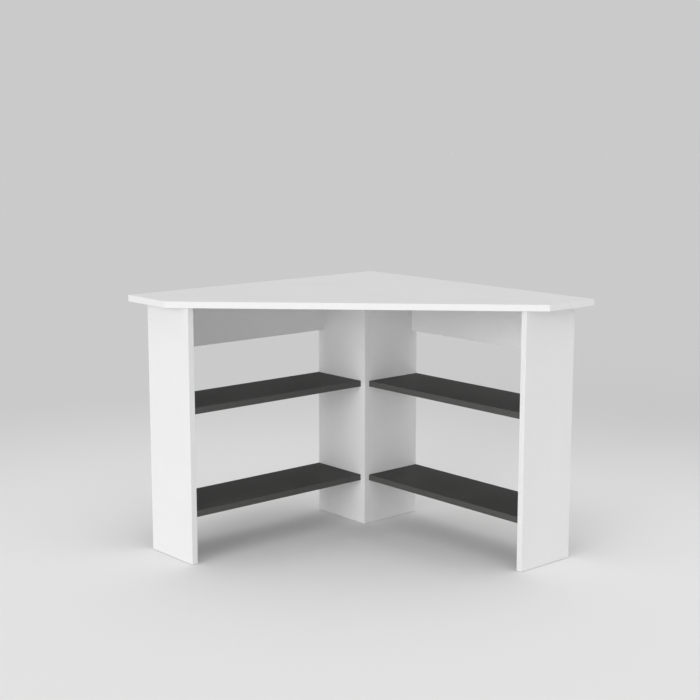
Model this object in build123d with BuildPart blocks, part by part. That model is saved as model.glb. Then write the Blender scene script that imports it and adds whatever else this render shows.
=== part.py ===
"""Corner desk of faced chipboard: top, two side panels, corner column, two back rails and four shelves.

Millimetres, +Z up. The origin is on the floor, under the middle of the square that the top is cut from.
The room corner is at -X +Y: the right wing runs along +X from it, and the left wing along -Y.
The left wing mirrors the right one, apart from the column, where the left board covers the right
one's edge. Boards are joined with cam fittings and dowels. A fitting's bolt is screwed into the face
of one board and pulled by a cam that is let into the other.
"""

import os
from collections import namedtuple

from build123d import *

# ---- driving dimensions ----
TOP_SIDE = 925  # each edge of the top that lies along a wall
TOP_END = 187  # the short edge at each end of the top
HEIGHT = 750  # floor to the upper face of the top
BOARD = 18  # thickness of every board
BAND = 1  # thickness of the edge bands
TOP_CORNER_RADIUS = 3  # the top's upright corners
EASED = 0.5  # the bands' long outer edges are rounded off
SEAM = 0.15  # the bands' long inner edges are bevelled, which leaves a fine line beside the board's face
GLIDE = 1  # how far the glides hold the boards off the floor
WALL_GAP = 27  # from the wall to the back of the boards, room for a skirting board
DEPTH = 200  # side panels and shelves, front to back
SIDE_INSET = 47  # from the end of the top to the side panel's outer face
SHELF_TOPS = {"upper": 450, "lower": 155}  # height of each shelf's upper face
RAIL_HEIGHT = 145
RAIL_INSET = 4  # from the back of the boards to the rail's back face

# ---- fittings ----
BOLT_REACH = 34  # from the joint to the middle of the cam
BOLT_THREAD_DEPTH = 11
BOLT_THREAD_RADIUS = 2.5
BOLT_BORE_RADIUS = 4
CAM_POCKET_RADIUS = 7.5
CAM_POCKET_DEPTH = 14
CAM_CLEARANCE = 0.1
CAM_CHAMFER = 0.4
CAM_WINDOW_CLEARANCE = 0.4  # round the bolt's head
CAP_RADIUS = 8.6
CAP_THICKNESS = 1
CAP_EDGE_RADIUS = 0.6
CROSS_LENGTH = 6  # the cam's screwdriver recess
CROSS_WIDTH = 1.6
CROSS_DEPTH = 2.5
CROSS_PLAY = 0.4  # how much smaller the cap's cross is than that recess
DOWEL_RADIUS = 4
DOWEL_IN_FACE = 10
DOWEL_IN_EDGE = 20
DOWEL_FLUTES = 6
FLUTE_DEPTH = 0.4
FLUTE_WIDTH = 1
DOWEL_CHAMFER = 1
FIT_CLEARANCE = 0.05  # all round a bolt or dowel in its hole
HOLE_END_CLEARANCE = 1  # past the end of a bolt, dowel or glide's plug
EDGE_TO_BOLT = 37  # from the edge of a board to its first bolt
BOLT_TO_DOWEL = 32
GLIDE_RADIUS = 8
GLIDE_EDGE_RADIUS = 0.6
PLUG_RADIUS = 4
PLUG_LENGTH = 14
PLUG_RIDGES = 5
PLUG_RIDGE_HEIGHT = 0.4

# ---- places, as distances from the walls and heights ----
HALF = TOP_SIDE / 2
UNDER_TOP = HEIGHT - BOARD
UPRIGHT = (GLIDE, UNDER_TOP)  # foot and head of the side panels and column boards
UPRIGHT_LENGTH = UNDER_TOP - GLIDE
OUT = (WALL_GAP, WALL_GAP + DEPTH)  # back and front of the side panels and shelves
SIDE = (TOP_SIDE - SIDE_INSET - BOARD, TOP_SIDE - SIDE_INSET)  # side panel's inner and outer face
COLUMN = (OUT[1], OUT[1] + BOARD)  # column board's inner and outer face
BAY = (COLUMN[1], SIDE[0])  # where the shelves and the rail fit
BAY_LENGTH = BAY[1] - BAY[0]
RAIL_OUT = (WALL_GAP + RAIL_INSET, WALL_GAP + RAIL_INSET + BOARD)
RAIL_RISE = (UNDER_TOP - RAIL_HEIGHT, UNDER_TOP)
SHELF_BOLTS = (OUT[0] + EDGE_TO_BOLT, OUT[1] - EDGE_TO_BOLT)
SHELF_DOWELS = (SHELF_BOLTS[0] + BOLT_TO_DOWEL, SHELF_BOLTS[1] - BOLT_TO_DOWEL)
RAIL_DOWEL_OFFSET = 40  # above and below the rail's bolt
EDGE_TO_TOP_BOLT = 50  # from an upright board's back or front to its bolt in the top
SIDE_TOP_BOLTS = (OUT[0] + EDGE_TO_TOP_BOLT, OUT[1] - EDGE_TO_TOP_BOLT)
SIDE_TOP_DOWELS = (SIDE_TOP_BOLTS[0] + BOLT_TO_DOWEL, SIDE_TOP_BOLTS[1] - BOLT_TO_DOWEL)
JOINT_TO_TOP_BOLT = 77  # clear of the fittings that join the two column boards
COLUMN_TOP_BOLTS = (OUT[0] + EDGE_TO_TOP_BOLT, OUT[1] - JOINT_TO_TOP_BOLT)
COLUMN_TOP_DOWEL = (COLUMN_TOP_BOLTS[0] + COLUMN_TOP_BOLTS[1]) / 2
RAIL_TOP_DOWEL_INSET = 155  # from the rail's ends
RAIL_TOP_DOWELS = (BAY[0] + RAIL_TOP_DOWEL_INSET, BAY[1] - RAIL_TOP_DOWEL_INSET)
COLUMN_BOLT_HEIGHTS = (90, 300, 620)
COLUMN_DOWEL_HEIGHTS = (200, 520)
GLIDE_INSET = 30  # from the ends of a board's foot

ALONG, BACK, FRONT = Vector(1, 0, 0), Vector(0, 1, 0), Vector(0, -1, 0)  # in the right wing
UP, DOWN = Vector(0, 0, 1), Vector(0, 0, -1)
MIRROR = Plane(origin=(0, 0, 0), z_dir=(1, 1, 0))  # the desk's upright plane of symmetry

# A fitting is at the joint's face, where its bolt leaves one board along axis into the other.
# The cam is let into the face of that other board that looks along cam_side.
Fitting = namedtuple("Fitting", "point axis cam_side")
Dowel = namedtuple("Dowel", "point axis")


def middle(span):
    return (span[0] + span[1]) / 2


def at(along, out, height=0):
    """A point along the right-hand wall from the room corner, out from that wall, and up."""
    return Vector(along - HALF, HALF - out, height)


def mirrored(vector):
    """The same vector on the other wing."""
    return Vector(-vector.Y, -vector.X, vector.Z)


def other_wing(places):
    """Fittings or dowels on the other wing."""
    return [type(p)(*(mirrored(v) for v in p)) for p in places]


def board(along, out, rise):
    """A plain board, given its two limits along the right-hand wall, out from it, and up."""
    with Locations(at(along[0], out[0], rise[0])):
        Box(
            along[1] - along[0],
            out[1] - out[0],
            rise[1] - rise[0],
            align=(Align.MIN, Align.MAX, Align.MIN),
        )


def band(end, run, length, outward):
    """An edge band that starts at end, the middle of its outer face there, and follows run."""
    with BuildSketch(Plane(origin=end, x_dir=outward, z_dir=run)) as section:
        Rectangle(BAND, BOARD, align=(Align.MAX, Align.CENTER))
        fillet(section.vertices().group_by(Axis.X)[-1], EASED)
        chamfer(section.vertices().group_by(Axis.X)[0], SEAM)
    extrude(section.sketch, amount=length)


def cam_face(fitting):
    """The plane of the board's face at a cam's centre, with x towards the joint."""
    origin = fitting.point + fitting.axis * BOLT_REACH + fitting.cam_side * (BOARD / 2)
    return Plane(origin=origin, x_dir=-fitting.axis, z_dir=fitting.cam_side)


def drill_for_bolts(fittings, dowels=()):
    """Holes in the board whose face takes the bolts' threads and the dowels' short ends."""
    if fittings:
        with Locations(*[Plane(origin=f.point, z_dir=f.axis) for f in fittings]):
            Hole(BOLT_THREAD_RADIUS + FIT_CLEARANCE, BOLT_THREAD_DEPTH)
    if dowels:
        with Locations(*[Plane(origin=d.point, z_dir=d.axis) for d in dowels]):
            Hole(DOWEL_RADIUS + FIT_CLEARANCE, DOWEL_IN_FACE + HOLE_END_CLEARANCE)


def drill_for_cams(fittings, dowels=()):
    """Bores and cam pockets where the bolts reach into a board, and bores for the dowels' long ends."""
    if fittings:
        with Locations(*[Plane(origin=f.point, z_dir=-f.axis) for f in fittings]):
            Hole(BOLT_BORE_RADIUS, BOLT_REACH)
        with Locations(*[cam_face(f) for f in fittings]):
            Hole(CAM_POCKET_RADIUS, CAM_POCKET_DEPTH)
    if dowels:
        with Locations(*[Plane(origin=d.point, z_dir=-d.axis) for d in dowels]):
            Hole(DOWEL_RADIUS + FIT_CLEARANCE, DOWEL_IN_EDGE + HOLE_END_CLEARANCE)


def drill_for_glides(places):
    """Holes for the glides' plugs in the foot of an upright board."""
    with Locations(*[Plane(origin=p, z_dir=DOWN) for p in places]):
        Hole(PLUG_RADIUS + FIT_CLEARANCE, PLUG_LENGTH + HOLE_END_CLEARANCE)


# ---- where the fittings and dowels are ----
def bay_fittings(outs, height, cam_side):
    """The fittings at both ends of a board that fills the right-hand bay."""
    return [
        Fitting(at(along, out, height), axis, cam_side)
        for along, axis in ((BAY[0], ALONG), (BAY[1], -ALONG))
        for out in outs
    ]


def bay_dowels(places):
    """The dowels at both ends of that board, given as (out, height)."""
    return [
        Dowel(at(along, out, height), axis)
        for along, axis in ((BAY[0], ALONG), (BAY[1], -ALONG))
        for out, height in places
    ]


shelf_fittings, shelf_dowels = {}, {}
for level, top in SHELF_TOPS.items():
    centre_height = top - BOARD / 2
    shelf_fittings["right", level] = bay_fittings(SHELF_BOLTS, centre_height, DOWN)
    shelf_dowels["right", level] = bay_dowels([(out, centre_height) for out in SHELF_DOWELS])
    shelf_fittings["left", level] = other_wing(shelf_fittings["right", level])
    shelf_dowels["left", level] = other_wing(shelf_dowels["right", level])

rail_centre_out, rail_centre_height = middle(RAIL_OUT), middle(RAIL_RISE)
right_rail_fittings = bay_fittings([rail_centre_out], rail_centre_height, BACK)
right_rail_dowels = bay_dowels(
    [(rail_centre_out, rail_centre_height + s * RAIL_DOWEL_OFFSET) for s in (-1, 1)]
)
left_rail_fittings = other_wing(right_rail_fittings)
left_rail_dowels = other_wing(right_rail_dowels)

side_top_fittings = [Fitting(at(middle(SIDE), out, UNDER_TOP), DOWN, -ALONG) for out in SIDE_TOP_BOLTS]
side_top_dowels = [Dowel(at(middle(SIDE), out, UNDER_TOP), DOWN) for out in SIDE_TOP_DOWELS]
column_top_fittings = [
    Fitting(at(middle(COLUMN), out, UNDER_TOP), DOWN, -ALONG) for out in COLUMN_TOP_BOLTS
]
column_top_dowels = [Dowel(at(middle(COLUMN), COLUMN_TOP_DOWEL, UNDER_TOP), DOWN)]
rail_top_dowels = [Dowel(at(along, rail_centre_out, UNDER_TOP), DOWN) for along in RAIL_TOP_DOWELS]
one_wing_top_fittings = side_top_fittings + column_top_fittings
one_wing_top_dowels = side_top_dowels + column_top_dowels + rail_top_dowels
top_fittings = one_wing_top_fittings + other_wing(one_wing_top_fittings)
top_dowels = one_wing_top_dowels + other_wing(one_wing_top_dowels)

column_fittings = [
    Fitting(at(middle(COLUMN), OUT[1], height), BACK, -ALONG) for height in COLUMN_BOLT_HEIGHTS
]
column_dowels = [Dowel(at(middle(COLUMN), OUT[1], height), BACK) for height in COLUMN_DOWEL_HEIGHTS]

side_glides = [at(middle(SIDE), out, GLIDE) for out in (OUT[0] + GLIDE_INSET, OUT[1] - GLIDE_INSET)]
right_column_glides = [
    at(middle(COLUMN), out, GLIDE) for out in (OUT[0] + GLIDE_INSET, OUT[1] - GLIDE_INSET)
]
left_column_glides = [
    at(along, middle(COLUMN), GLIDE) for along in (OUT[0] + GLIDE_INSET, COLUMN[1] - GLIDE_INSET)
]
glides = (
    side_glides + [mirrored(p) for p in side_glides] + right_column_glides + left_column_glides
)

# ---- what is joined to each upright board on its face ----
right_bay_fittings = [f for (wing, _), fs in shelf_fittings.items() if wing == "right" for f in fs]
right_bay_fittings += right_rail_fittings
right_bay_dowels = [d for (wing, _), ds in shelf_dowels.items() if wing == "right" for d in ds]
right_bay_dowels += right_rail_dowels


def starting_at(places, along):
    """Those of the right-hand bay's fittings or dowels that start from the board at that distance."""
    return [p for p in places if abs(p.point.X - (along - HALF)) < BOARD / 2]


# ---- the top ----
TOP_OUTLINE = [
    at(0, 0),
    at(TOP_SIDE, 0),
    at(TOP_SIDE, TOP_END),
    at(TOP_END, TOP_SIDE),
    at(0, TOP_SIDE),
]

with BuildPart() as worktop:
    with BuildSketch(Plane.XY.offset(UNDER_TOP)):
        with BuildLine():
            Polyline(*[(p.X, p.Y) for p in TOP_OUTLINE], close=True)
        make_face()
        offset(amount=-BAND, kind=Kind.INTERSECTION, mode=Mode.REPLACE)
        fillet(vertices(), TOP_CORNER_RADIUS - BAND)
    extrude(amount=BOARD)
    drill_for_bolts(top_fittings, top_dowels)

with BuildPart() as worktop_edge_band:
    with BuildSketch(Plane.XY.offset(UNDER_TOP)):
        with BuildLine():
            Polyline(*[(p.X, p.Y) for p in TOP_OUTLINE], close=True)
        make_face()
        fillet(vertices(), TOP_CORNER_RADIUS)
        offset(amount=-BAND, mode=Mode.SUBTRACT)
    extrude(amount=BOARD)
    rims = faces().filter_by(Axis.Z)
    outer_edges = [edge for rim in rims for edge in rim.outer_wire().edges()]
    inner_edges = [edge for rim in rims for edge in rim.inner_wires()[0].edges()]
    chamfer(inner_edges, SEAM)
    fillet(outer_edges, EASED)

# ---- the side panels ----
with BuildPart() as right_side_panel:
    board(SIDE, (OUT[0] + BAND, OUT[1] - BAND), UPRIGHT)
    drill_for_bolts(starting_at(right_bay_fittings, SIDE[0]), starting_at(right_bay_dowels, SIDE[0]))
    drill_for_cams(side_top_fittings, side_top_dowels)
    drill_for_glides(side_glides)

with BuildPart() as left_side_panel:
    mirror(right_side_panel.part, about=MIRROR)

with BuildPart() as right_side_panel_edge_bands:
    band(at(middle(SIDE), OUT[0], GLIDE), UP, UPRIGHT_LENGTH, BACK)
    band(at(middle(SIDE), OUT[1], GLIDE), UP, UPRIGHT_LENGTH, FRONT)

with BuildPart() as left_side_panel_edge_bands:
    mirror(right_side_panel_edge_bands.part, about=MIRROR)

# ---- the column: its right board stands between the wall and its left board ----
with BuildPart() as right_column_panel:
    board(COLUMN, (OUT[0] + BAND, OUT[1]), UPRIGHT)
    drill_for_bolts(
        starting_at(right_bay_fittings, COLUMN[1]), starting_at(right_bay_dowels, COLUMN[1])
    )
    drill_for_cams(column_top_fittings, column_top_dowels)
    drill_for_cams(column_fittings, column_dowels)
    drill_for_glides(right_column_glides)

with BuildPart() as right_column_panel_edge_band:
    band(at(middle(COLUMN), OUT[0], GLIDE), UP, UPRIGHT_LENGTH, BACK)

with BuildPart() as left_column_panel:
    board((OUT[0] + BAND, COLUMN[1] - BAND), COLUMN, UPRIGHT)
    drill_for_bolts(
        other_wing(starting_at(right_bay_fittings, COLUMN[1])) + column_fittings,
        other_wing(starting_at(right_bay_dowels, COLUMN[1])) + column_dowels,
    )
    drill_for_cams(other_wing(column_top_fittings), other_wing(column_top_dowels))
    drill_for_glides(left_column_glides)

with BuildPart() as left_column_panel_edge_bands:
    band(at(OUT[0], middle(COLUMN), GLIDE), UP, UPRIGHT_LENGTH, -ALONG)
    band(at(COLUMN[1], middle(COLUMN), GLIDE), UP, UPRIGHT_LENGTH, ALONG)

# ---- the back rails ----
with BuildPart() as right_back_rail:
    board(BAY, RAIL_OUT, (RAIL_RISE[0] + BAND, RAIL_RISE[1]))
    drill_for_cams(right_rail_fittings, right_rail_dowels)
    drill_for_cams([], rail_top_dowels)

with BuildPart() as left_back_rail:
    mirror(right_back_rail.part, about=MIRROR)

with BuildPart() as right_back_rail_edge_band:
    band(at(BAY[0], middle(RAIL_OUT), RAIL_RISE[0]), ALONG, BAY_LENGTH, DOWN)

with BuildPart() as left_back_rail_edge_band:
    mirror(right_back_rail_edge_band.part, about=MIRROR)


# ---- the shelves ----
def right_shelf(level):
    """A shelf of the right wing, without its front edge band."""
    rise = (SHELF_TOPS[level] - BOARD, SHELF_TOPS[level])
    with BuildPart() as shelf:
        board(BAY, (OUT[0], OUT[1] - BAND), rise)
        drill_for_cams(shelf_fittings["right", level], shelf_dowels["right", level])
    return shelf.part


def right_shelf_edge_band(level):
    """The band on a right-hand shelf's front edge."""
    with BuildPart() as front_band:
        band(at(BAY[0], OUT[1], SHELF_TOPS[level] - BOARD / 2), ALONG, BAY_LENGTH, FRONT)
    return front_band.part


# ---- the fittings' own pieces, each made once, with its joint's face at the origin ----
THREAD_RIDGES = 6
THREAD_ROOT_RADIUS = 1.9
COLLAR_RADIUS = 3.5
COLLAR_LENGTH = 3
SHANK_RADIUS = 2.5
NECK_RADIUS = 1.8
NECK_LENGTH = 5
HEAD_RADIUS = 3.2
HEAD_LENGTH = 3

with BuildPart() as cam_bolt:
    # Along +Z: the thread below zero, the collar on the joint's face, the shank, the neck and the head.
    with BuildSketch(Plane.XZ):
        thread_length = BOLT_THREAD_DEPTH - HOLE_END_CLEARANCE
        pitch = thread_length / THREAD_RIDGES
        ridges = []
        for turn in range(THREAD_RIDGES):
            ridges.append((THREAD_ROOT_RADIUS, -thread_length + turn * pitch))
            ridges.append((BOLT_THREAD_RADIUS, -thread_length + (turn + 0.5) * pitch))
        head_start = BOLT_REACH - HEAD_LENGTH / 2
        neck_start = head_start - NECK_LENGTH
        with BuildLine():
            Polyline(
                (0, -thread_length),
                *ridges,
                (THREAD_ROOT_RADIUS, 0),
                (COLLAR_RADIUS, 0),
                (COLLAR_RADIUS, COLLAR_LENGTH),
                (SHANK_RADIUS, COLLAR_LENGTH),
                (SHANK_RADIUS, neck_start),
                (NECK_RADIUS, neck_start),
                (NECK_RADIUS, head_start),
                (HEAD_RADIUS, head_start),
                (HEAD_RADIUS, head_start + HEAD_LENGTH),
                (0, head_start + HEAD_LENGTH),
                close=True,
            )
        make_face()
    revolve(axis=Axis.Z)

with BuildPart() as cam_lock:
    # Its face at z = 0 looks up, and the bolt comes in along -X.
    depth = CAM_POCKET_DEPTH - 2 * CAM_CLEARANCE
    with BuildSketch(Plane.XY.offset(-CAM_CLEARANCE)):
        Circle(CAM_POCKET_RADIUS - CAM_CLEARANCE)
    extrude(amount=-depth)
    chamfer(edges().filter_by(GeomType.CIRCLE), CAM_CHAMFER)
    window = Plane(origin=(CAM_POCKET_RADIUS, 0, -BOARD / 2), z_dir=(1, 0, 0))
    with Locations(window):
        Hole(HEAD_RADIUS + CAM_WINDOW_CLEARANCE, CAM_POCKET_RADIUS + HEAD_LENGTH)
    with BuildSketch(Plane.XY.offset(-CAM_CLEARANCE)):
        Rectangle(CROSS_LENGTH, CROSS_WIDTH)
        Rectangle(CROSS_WIDTH, CROSS_LENGTH)
    extrude(amount=-CROSS_DEPTH, mode=Mode.SUBTRACT)

with BuildPart() as cam_cap:
    # A thin disc on the board's face, with a cross that plugs the cam's recess.
    with BuildSketch(Plane.XY):
        Circle(CAP_RADIUS)
    extrude(amount=CAP_THICKNESS)
    fillet(faces().sort_by(Axis.Z)[-1].edges(), CAP_EDGE_RADIUS)
    with BuildSketch(Plane.XY):
        Rectangle(CROSS_LENGTH - CROSS_PLAY, CROSS_WIDTH - CROSS_PLAY)
        Rectangle(CROSS_WIDTH - CROSS_PLAY, CROSS_LENGTH - CROSS_PLAY)
    extrude(amount=CROSS_PLAY - CROSS_DEPTH)

with BuildPart() as dowel:
    # Along +Z: the short end below zero is in the face, and the long one above it is in the edge.
    with BuildSketch(Plane.XY.offset(-DOWEL_IN_FACE)):
        Circle(DOWEL_RADIUS)
        with PolarLocations(DOWEL_RADIUS, DOWEL_FLUTES):
            Rectangle(2 * FLUTE_DEPTH, FLUTE_WIDTH, mode=Mode.SUBTRACT)
    extrude(amount=DOWEL_IN_FACE + DOWEL_IN_EDGE)
    with BuildSketch(Plane.XZ):
        with BuildLine():
            Polyline(
                (0, -DOWEL_IN_FACE),
                (DOWEL_RADIUS - DOWEL_CHAMFER, -DOWEL_IN_FACE),
                (DOWEL_RADIUS, DOWEL_CHAMFER - DOWEL_IN_FACE),
                (DOWEL_RADIUS, DOWEL_IN_EDGE - DOWEL_CHAMFER),
                (DOWEL_RADIUS - DOWEL_CHAMFER, DOWEL_IN_EDGE),
                (0, DOWEL_IN_EDGE),
                close=True,
            )
        make_face()
    revolve(axis=Axis.Z, mode=Mode.INTERSECT)

with BuildPart() as floor_glide:
    # A disc that hangs from the board's foot at zero, on a ridged plug that is pressed into the foot.
    with BuildSketch(Plane.XZ):
        ridge_pitch = PLUG_LENGTH / PLUG_RIDGES
        plug_side = []
        for ridge in range(PLUG_RIDGES):
            plug_side.append((PLUG_RADIUS, ridge * ridge_pitch))
            plug_side.append((PLUG_RADIUS - PLUG_RIDGE_HEIGHT, (ridge + 1) * ridge_pitch))
        with BuildLine():
            Polyline(
                (0, -GLIDE),
                (GLIDE_RADIUS, -GLIDE),
                (GLIDE_RADIUS, 0),
                *plug_side,
                (0, PLUG_LENGTH),
                close=True,
            )
        make_face()
    revolve(axis=Axis.Z)
    fillet(faces().sort_by(Axis.Z)[0].edges(), GLIDE_EDGE_RADIUS)


# ---- sets of fittings, each kind of piece in its own node ----
def copies(shape, planes):
    """One part that holds a copy of shape on each plane."""
    with BuildPart() as made:
        with Locations(*planes):
            add(shape)
    return made.part


def fitting_sets(name, fittings, dowels):
    """{node name: part} for the bolts, cams, caps and dowels of one board or joint."""
    bolt_planes = [Plane(origin=f.point, z_dir=f.axis) for f in fittings]
    dowel_planes = [Plane(origin=d.point, z_dir=d.axis) for d in dowels]
    return {
        f"{name}_cam_bolts": copies(cam_bolt.part, bolt_planes),
        f"{name}_cam_locks": copies(cam_lock.part, [cam_face(f) for f in fittings]),
        f"{name}_cam_caps": copies(cam_cap.part, [cam_face(f) for f in fittings]),
        f"{name}_dowels": copies(dowel.part, dowel_planes),
    }


pieces = {
    "worktop": worktop.part,
    "worktop_edge_band": worktop_edge_band.part,
    "left_side_panel": left_side_panel.part,
    "left_side_panel_edge_bands": left_side_panel_edge_bands.part,
    "right_side_panel": right_side_panel.part,
    "right_side_panel_edge_bands": right_side_panel_edge_bands.part,
    "left_column_panel": left_column_panel.part,
    "left_column_panel_edge_bands": left_column_panel_edge_bands.part,
    "right_column_panel": right_column_panel.part,
    "right_column_panel_edge_band": right_column_panel_edge_band.part,
    "left_back_rail": left_back_rail.part,
    "left_back_rail_edge_band": left_back_rail_edge_band.part,
    "right_back_rail": right_back_rail.part,
    "right_back_rail_edge_band": right_back_rail_edge_band.part,
}

for level in SHELF_TOPS:
    pieces[f"right_{level}_shelf"] = right_shelf(level)
    pieces[f"right_{level}_shelf_edge_band"] = right_shelf_edge_band(level)
    with BuildPart() as left_shelf:
        mirror(pieces[f"right_{level}_shelf"], about=MIRROR)
    with BuildPart() as left_shelf_edge_band:
        mirror(pieces[f"right_{level}_shelf_edge_band"], about=MIRROR)
    pieces[f"left_{level}_shelf"] = left_shelf.part
    pieces[f"left_{level}_shelf_edge_band"] = left_shelf_edge_band.part

for wing, level in shelf_fittings:
    name = f"{wing}_{level}_shelf"
    pieces.update(fitting_sets(name, shelf_fittings[wing, level], shelf_dowels[wing, level]))
pieces.update(fitting_sets("left_back_rail", left_rail_fittings, left_rail_dowels))
pieces.update(fitting_sets("right_back_rail", right_rail_fittings, right_rail_dowels))
pieces.update(fitting_sets("worktop", top_fittings, top_dowels))
pieces.update(fitting_sets("column", column_fittings, column_dowels))
pieces["floor_glides"] = copies(floor_glide.part, [Plane(origin=p) for p in glides])

os.makedirs("parts", exist_ok=True)
for name, piece in pieces.items():
    piece.label = name
    export_step(piece, f"parts/{name}.step")
print(len(pieces), "nodes")
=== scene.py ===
"""Looks of the corner desk: board, band, metal, wood and plastic materials, a floor, light and a camera.

Metres, +Z up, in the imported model's frame. The room corner is at -X +Y and the desk's front faces +X -Y.
"""

import math

import bpy
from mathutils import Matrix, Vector


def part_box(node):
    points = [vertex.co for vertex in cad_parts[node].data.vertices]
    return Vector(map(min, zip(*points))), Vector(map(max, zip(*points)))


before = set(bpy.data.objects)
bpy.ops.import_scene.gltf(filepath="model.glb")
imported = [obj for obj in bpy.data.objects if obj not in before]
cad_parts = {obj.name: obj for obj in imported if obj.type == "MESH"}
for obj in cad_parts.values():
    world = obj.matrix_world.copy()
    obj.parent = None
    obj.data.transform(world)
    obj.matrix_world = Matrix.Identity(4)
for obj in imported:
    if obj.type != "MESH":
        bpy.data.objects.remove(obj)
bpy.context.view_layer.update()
MM = 0.001

# ---- colours, linear ----
WHITE = (0.84, 0.84, 0.84)
ANTHRACITE = (0.053, 0.053, 0.0515)
ANTHRACITE_BAND = (0.078, 0.078, 0.076)
CHIP_LIGHT = (0.60, 0.45, 0.29)
CHIP_DARK = (0.26, 0.165, 0.085)
BEECH = (0.62, 0.42, 0.24)
ZINC = (0.50, 0.50, 0.51)
STEEL = (0.62, 0.62, 0.60)
CAP_WHITE = (0.80, 0.80, 0.78)
CAP_GREY = (0.07, 0.07, 0.074)
GLIDE = (0.66, 0.66, 0.64)
# the floor's colour in its painted pool of light, and the painted shade that it turns to further off
FLOOR = (0.85, 0.85, 0.85)
FLOOR_PAINTED_SHADE = (0.655, 0.655, 0.655)

# ---- melamine ----
FOIL = 0.25 * MM  # the melamine paper, seen as a line along a raw edge
PEARL_SIZE = 1.1 * MM  # the pressed texture of the melamine
PEARL_SMOOTHNESS = 0.6
GRAIN_SIZE = 0.4 * MM  # the finer grain on it, and on bands and plastics
GRAIN_SHARE = 0.3  # of the relief, and the pearl has the rest
CLOUD_SIZE = 170 * MM  # faint unevenness of colour over a whole board
MOTTLE_SIZE = 4.0 * MM  # and a finer one from spot to spot
MOTTLE_SHARE = 0.6
MOTTLE_SPAN = (0.4, 0.6)  # the tones that the colour runs across, narrow so that it shows
BOARD_RELIEF = 0.1 * MM
BOARD_ROUGHNESS_CHANGE = 0.04  # either way, from grain to grain

# ---- raw chipboard ----
SIDE_LIMIT = 0.5  # a side's normal has less than this along the board's thickness
MIDDLE = 0.5  # of the thickness, which counts from 0 to 1
CHIP_SIZE = 3.0 * MM
CHIP_FLATNESS = 3.0  # the chips lie flat in the board
SPLINTER_SIZE = CHIP_SIZE / 3
SPLINTER_SHARE = 0.4
CHIP_SPAN = (0.15, 0.8)
CHIP_RELIEF = 2.5  # times the melamine's
CHIP_ROUGHNESS = 0.9

# ---- plastic, metal and wood: the grain, and what colour, roughness and relief do across it ----
NOISE_SPAN = (0.3, 0.7)  # where most of a noise's values lie
FINE_RELIEF = 0.02 * MM
PLASTIC_TONES = (0.97, 1.03)
WHITE_BAND_TONES = (0.99, 1.01)
PLASTIC = {"size": GRAIN_SIZE, "detail": 3, "roughness_change": (-0.05, 0.05), "relief": FINE_RELIEF}
METAL = {
    "detail": 4,
    "tones": (0.82, 1.1),
    "roughness_change": (-0.08, 0.10),
    "relief": FINE_RELIEF,
    "metallic": 1.0,
}
BARE_BEECH = {
    "size": 1.1 * MM,
    "detail": 3,
    "stretch": (1, 1, 0.25),  # the pores are longest along Z
    "tones": (0.7, 1.1),
    "span": (0.35, 0.65),
    "roughness_change": (-0.05, 0.10),
    "relief": 0.05 * MM,
    "specular": 0.3,
}

# ---- light ----
BACKDROP = 0.592  # what the camera sees past the floor
SKY = 0.02  # light from all round
# broad lobes of extra light: the direction that each comes from, and its strength there
SKY_LOBES = (
    (Vector((0, 0, 1)), 0.98),
    (Vector((1, -1, 0)), 0.40),
    (Vector((1, 1, 0)), 0.34),
)
KEY_STRENGTH = 1.69
KEY_FROM = Vector((0.25, -0.93, 0.10))
KEY_ANGLE = math.radians(40)

# ---- floor and camera ----
FLOOR_RADIUS = 40.0
FLOOR_SIDES = 96
FLOOR_GRAIN = 2 * MM
FLOOR_ROUGHNESS = 0.8
PAINTED_LIGHT_CENTRE = Vector((0.6, -0.6, 0.0))  # in front of the desk, the centre of the painted pool of light on the floor
PAINTED_SHADE_START = 1.2  # the floor's painted pool of light turns into painted shade, a greyer backdrop, between these distances from there
PAINTED_SHADE_END = 3.4
CAMERA_PLACE = Vector((2.9201, -2.5862, 1.2596))
CAMERA_DIRECTION = Vector((-0.7422, 0.6491, -0.1669))
LENS_MM = 72.29
SENSOR_MM = 36.0


# ---- node trees ----
class Nodes:
    """A node tree, with short helpers that add nodes to it and return their outputs."""

    def __init__(self, tree):
        self.tree = tree

    def give(self, socket, value):
        """Link a socket, or set it to a number, vector or colour."""
        if isinstance(value, bpy.types.NodeSocket):
            self.tree.links.new(value, socket)
        else:
            socket.default_value = value

    def add(self, kind, inputs, **settings):
        made = self.tree.nodes.new(kind)
        for name, value in settings.items():
            setattr(made, name, value)
        for name, value in inputs.items():
            self.give(made.inputs[name], value)
        return made.outputs

    def math(self, operation, first, second=0.0):
        return self.add("ShaderNodeMath", {0: first, 1: second}, operation=operation)["Value"]

    def measure(self, operation, first, second):
        """A number out of two vectors."""
        return self.add("ShaderNodeVectorMath", {0: first, 1: second}, operation=operation)["Value"]

    def blend(self, first, second, share):
        """Two values mixed, with this share of the second."""
        return self.add("ShaderNodeMix", {"Factor": share, "A": first, "B": second})["Result"]

    def part(self, vector, axis):
        return self.add("ShaderNodeSeparateXYZ", {"Vector": vector})[axis]


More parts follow.
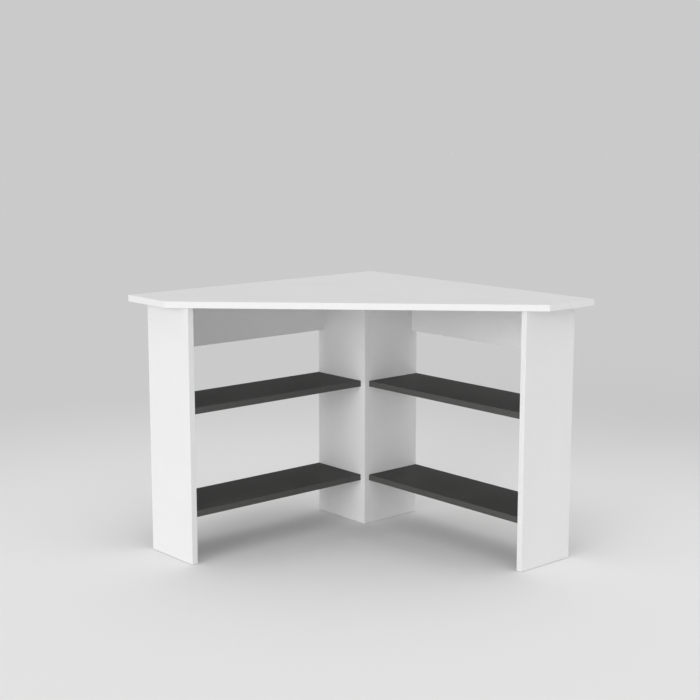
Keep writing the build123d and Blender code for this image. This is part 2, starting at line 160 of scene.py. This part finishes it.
class Shader(Nodes):
    """A Principled material under construction."""

    def __init__(self, name, roughness, specular=0.5, metallic=0.0):
        self.material = bpy.data.materials.new(name)
        self.material.use_nodes = True
        super().__init__(self.material.node_tree)
        self.surface = self.tree.nodes["Principled BSDF"].inputs
        self.surface["Roughness"].default_value = roughness
        self.surface["Specular IOR Level"].default_value = specular
        self.surface["Metallic"].default_value = metallic
        self.coordinates = self.add("ShaderNodeTexCoord", {})

    def stretched(self, stretch):
        """The object's coordinates, multiplied axis by axis."""
        mapping = {"Vector": self.coordinates["Object"], "Scale": stretch}
        return self.add("ShaderNodeMapping", mapping)["Vector"]

    def noise(self, size, detail=2.0, stretch=(1, 1, 1)):
        inputs = {"Vector": self.stretched(stretch), "Scale": 1 / size, "Detail": detail}
        return self.add("ShaderNodeTexNoise", inputs)["Fac"]

    def bumps(self, size):
        """Smooth rounded cells."""
        inputs = {"Vector": self.stretched((1, 1, 1)), "Scale": 1 / size, "Smoothness": PEARL_SMOOTHNESS}
        return self.add("ShaderNodeTexVoronoi", inputs, feature="SMOOTH_F1")["Distance"]

    def flakes(self, size, stretch):
        """Cells with one random value each."""
        inputs = {"Vector": self.stretched(stretch), "Scale": 1 / size}
        colour = self.add("ShaderNodeTexVoronoi", inputs)["Color"]
        return self.add("ShaderNodeSeparateColor", {"Color": colour})["Red"]

    def spread(self, noise, lowest, highest):
        """A noise taken to the range between two numbers."""
        low, high = NOISE_SPAN
        inputs = {"Value": noise, "From Min": low, "From Max": high, "To Min": lowest, "To Max": highest}
        return self.add("ShaderNodeMapRange", inputs)["Result"]

    def ramp(self, value, first, second, span=NOISE_SPAN):
        """A colour that runs from the first to the second across the span of values."""
        made = self.tree.nodes.new("ShaderNodeValToRGB")
        self.give(made.inputs["Fac"], value)
        for stop, place, colour in zip(made.color_ramp.elements, span, (first, second)):
            stop.position = place
            stop.color = (*colour, 1)
        return made.outputs["Color"]

    def choose(self, mask, first, second):
        """The second colour where the mask is 1, and the first elsewhere."""
        inputs = {"Fac": mask, "Color1": first, "Color2": second}
        return self.add("ShaderNodeMixRGB", inputs)["Color"]

    def finish(self, colour, roughness, height, depth):
        """Colour and roughness, and a relief that is depth deep where height goes from 0 to 1."""
        self.give(self.surface["Base Color"], colour)
        self.give(self.surface["Roughness"], roughness)
        bump = self.add("ShaderNodeBump", {"Height": height, "Distance": depth})
        self.give(self.surface["Normal"], bump["Normal"])
        return self.material


def tinted(colour, factor):
    return tuple(min(1.0, c * factor) for c in colour)


def mottled(shader, colour, contrast):
    """A colour that varies over a whole board and from one spot to the next."""
    tone = shader.blend(shader.noise(CLOUD_SIZE, detail=3), shader.noise(MOTTLE_SIZE), MOTTLE_SHARE)
    return shader.ramp(tone, tinted(colour, 1 - contrast), tinted(colour, 1 + contrast), MOTTLE_SPAN)


# ---- materials ----
def board_material(name, thickness_axis, thickness, colour, roughness, specular, contrast):
    """Melamine on a board's two faces, and raw chipboard on every side across its thickness."""
    shader = Shader(name, roughness, specular)
    pearl = shader.bumps(PEARL_SIZE)
    grain = shader.noise(GRAIN_SIZE)
    face_height = shader.blend(pearl, grain, GRAIN_SHARE)
    smoothest = roughness - BOARD_ROUGHNESS_CHANGE
    face_roughness = shader.spread(grain, smoothest, roughness + BOARD_ROUGHNESS_CHANGE)

    normal = shader.add("ShaderNodeNewGeometry", {})["True Normal"]
    facing = shader.math("ABSOLUTE", shader.part(normal, thickness_axis))
    is_side = shader.math("LESS_THAN", facing, SIDE_LIMIT)
    place = shader.part(shader.coordinates["Generated"], thickness_axis)
    off_middle = shader.math("ABSOLUTE", shader.math("SUBTRACT", place, MIDDLE))
    is_core = shader.math("LESS_THAN", off_middle, MIDDLE - FOIL / thickness)
    is_raw = shader.math("MULTIPLY", is_side, is_core)

    flat = [CHIP_FLATNESS if axis == thickness_axis else 1.0 for axis in "XYZ"]
    chip = shader.flakes(CHIP_SIZE, flat)
    splinter = shader.noise(SPLINTER_SIZE, detail=3, stretch=flat)
    chips = shader.blend(chip, splinter, SPLINTER_SHARE)
    chip_colour = shader.ramp(chips, CHIP_DARK, CHIP_LIGHT, CHIP_SPAN)
    chip_height = shader.math("MULTIPLY", chips, CHIP_RELIEF)

    return shader.finish(
        colour=shader.choose(is_raw, mottled(shader, colour, contrast), chip_colour),
        roughness=shader.blend(face_roughness, CHIP_ROUGHNESS, is_raw),
        height=shader.blend(face_height, chip_height, is_raw),
        depth=BOARD_RELIEF,
    )


def grained_material(
    name,
    colour,
    roughness,
    size,
    detail,
    tones,
    roughness_change,
    relief,
    stretch=(1, 1, 1),
    span=NOISE_SPAN,
    specular=0.5,
    metallic=0.0,
):
    """Plastic, metal or wood, with one grain in its colour, gloss and relief."""
    shader = Shader(name, roughness, specular, metallic)
    grain = shader.noise(size, detail, stretch)
    darkest, lightest = (tinted(colour, tone) for tone in tones)
    smoothest, roughest = (roughness + change for change in roughness_change)
    return shader.finish(
        colour=shader.ramp(grain, darkest, lightest, span),
        roughness=shader.spread(grain, smoothest, roughest),
        height=grain,
        depth=relief,
    )


def floor_material(name, near, far, roughness):
    """Matt floor with a painted pool of light in front of the desk, turning greyer with painted shade in
    the distance.
    """
    shader = Shader(name, roughness, specular=0.0)
    # painted shade: the floor's colour darkens with distance from the painted pool of light in front of
    # the desk
    distance = shader.measure("DISTANCE", shader.coordinates["Object"], PAINTED_LIGHT_CENTRE)
    painted_shade_share = shader.add(
        "ShaderNodeMapRange",
        {"Value": distance, "From Min": PAINTED_SHADE_START, "From Max": PAINTED_SHADE_END},
        interpolation_type="SMOOTHSTEP",
    )["Result"]
    return shader.finish(
        colour=shader.choose(painted_shade_share, (*near, 1), (*far, 1)),
        roughness=roughness,
        height=shader.noise(FLOOR_GRAIN),
        depth=FINE_RELIEF,
    )


white_band = grained_material(
    "white_band", WHITE, roughness=0.40, tones=WHITE_BAND_TONES, specular=0.4, **PLASTIC
)
anthracite_band = grained_material(
    "anthracite_band", ANTHRACITE_BAND, roughness=0.50, tones=PLASTIC_TONES, specular=0.25, **PLASTIC
)
cap_white = grained_material("cap_white", CAP_WHITE, roughness=0.45, tones=PLASTIC_TONES, **PLASTIC)
cap_grey = grained_material("cap_grey", CAP_GREY, roughness=0.45, tones=PLASTIC_TONES, **PLASTIC)
glide_plastic = grained_material("glide_plastic", GLIDE, roughness=0.50, tones=PLASTIC_TONES, **PLASTIC)
zinc = grained_material("zinc", ZINC, roughness=0.45, size=0.8 * MM, **METAL)
steel = grained_material("steel", STEEL, roughness=0.32, size=0.5 * MM, **METAL)
beech = grained_material("beech", BEECH, roughness=0.60, **BARE_BEECH)

# by the end of a node's name, unless it is a board: the material on shelves, and elsewhere
SMALL_PIECES = {
    "_edge_band": (anthracite_band, white_band),
    "_edge_bands": (anthracite_band, white_band),
    "_cam_locks": (zinc, zinc),
    "_cam_bolts": (steel, steel),
    "_cam_caps": (cap_grey, cap_white),
    "_dowels": (beech, beech),
    "_glides": (glide_plastic, glide_plastic),
}
BOARD_LOOKS = {
    "anthracite": {"colour": ANTHRACITE, "roughness": 0.55, "specular": 0.10, "contrast": 0.16},
    "white": {"colour": WHITE, "roughness": 0.45, "specular": 0.35, "contrast": 0.015},
}
board_materials = {}


def board_material_for(node, is_shelf):
    """One material for each colour and thickness axis."""
    low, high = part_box(node)
    thickness, axis = min((b - a, axis) for a, b, axis in zip(low, high, "XYZ"))
    finish = "anthracite" if is_shelf else "white"
    name = f"{finish}_board_{axis.lower()}"
    if name not in board_materials:
        board_materials[name] = board_material(name, axis, thickness, **BOARD_LOOKS[finish])
    return board_materials[name]


def material_for(node):
    is_shelf = "_shelf" in node
    for ending, (on_shelf, elsewhere) in SMALL_PIECES.items():
        if node.endswith(ending):
            return on_shelf if is_shelf else elsewhere
    return board_material_for(node, is_shelf)


for node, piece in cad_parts.items():
    piece.data.materials.clear()
    piece.data.materials.append(material_for(node))


# ---- floor ----
def add_floor():
    """A disc so wide that its far edge is the horizon."""
    turns = [math.tau * side / FLOOR_SIDES for side in range(FLOOR_SIDES)]
    ring = [(FLOOR_RADIUS * math.cos(turn), FLOOR_RADIUS * math.sin(turn), 0.0) for turn in turns]
    mesh = bpy.data.meshes.new("floor")
    mesh.from_pydata(ring, [], [range(FLOOR_SIDES)])
    mesh.materials.append(floor_material("floor", FLOOR, FLOOR_PAINTED_SHADE, FLOOR_ROUGHNESS))
    floor = bpy.data.objects.new("floor", mesh)
    bpy.context.scene.collection.objects.link(floor)


# ---- light ----
def add_sky():
    """Soft light from all round, with broad brighter lobes. The camera itself sees a plain grey."""
    world = bpy.data.worlds.new("studio")
    world.use_nodes = True
    bpy.context.scene.world = world
    sky = Nodes(world.node_tree)
    direction = sky.add("ShaderNodeTexCoord", {})["Generated"]
    light = SKY
    for towards, strength in SKY_LOBES:
        nearness = sky.math("MAXIMUM", sky.measure("DOT_PRODUCT", direction, towards.normalized()), 0.0)
        light = sky.math("ADD", light, sky.math("MULTIPLY", nearness, strength))
    seen = sky.add("ShaderNodeLightPath", {})["Is Camera Ray"]
    background = world.node_tree.nodes["Background"].inputs
    sky.give(background["Color"], (1, 1, 1, 1))
    sky.give(background["Strength"], sky.blend(light, BACKDROP, seen))


def add_key():
    """A very wide and soft sun from the front left."""
    key = bpy.data.lights.new("key", "SUN")
    key.energy = KEY_STRENGTH
    key.angle = KEY_ANGLE
    lamp = bpy.data.objects.new("key", key)
    lamp.rotation_euler = KEY_FROM.to_track_quat("Z", "Y").to_euler()
    bpy.context.scene.collection.objects.link(lamp)


# ---- camera ----
def add_camera():
    data = bpy.data.cameras.new("camera")
    data.lens = LENS_MM
    data.sensor_width = SENSOR_MM
    camera = bpy.data.objects.new("camera", data)
    camera.location = CAMERA_PLACE
    camera.rotation_euler = CAMERA_DIRECTION.to_track_quat("-Z", "Y").to_euler()
    bpy.context.scene.collection.objects.link(camera)
    bpy.context.scene.camera = camera


add_floor()
add_sky()
add_key()
add_camera()
bpy.context.scene.view_settings.view_transform = "Standard"
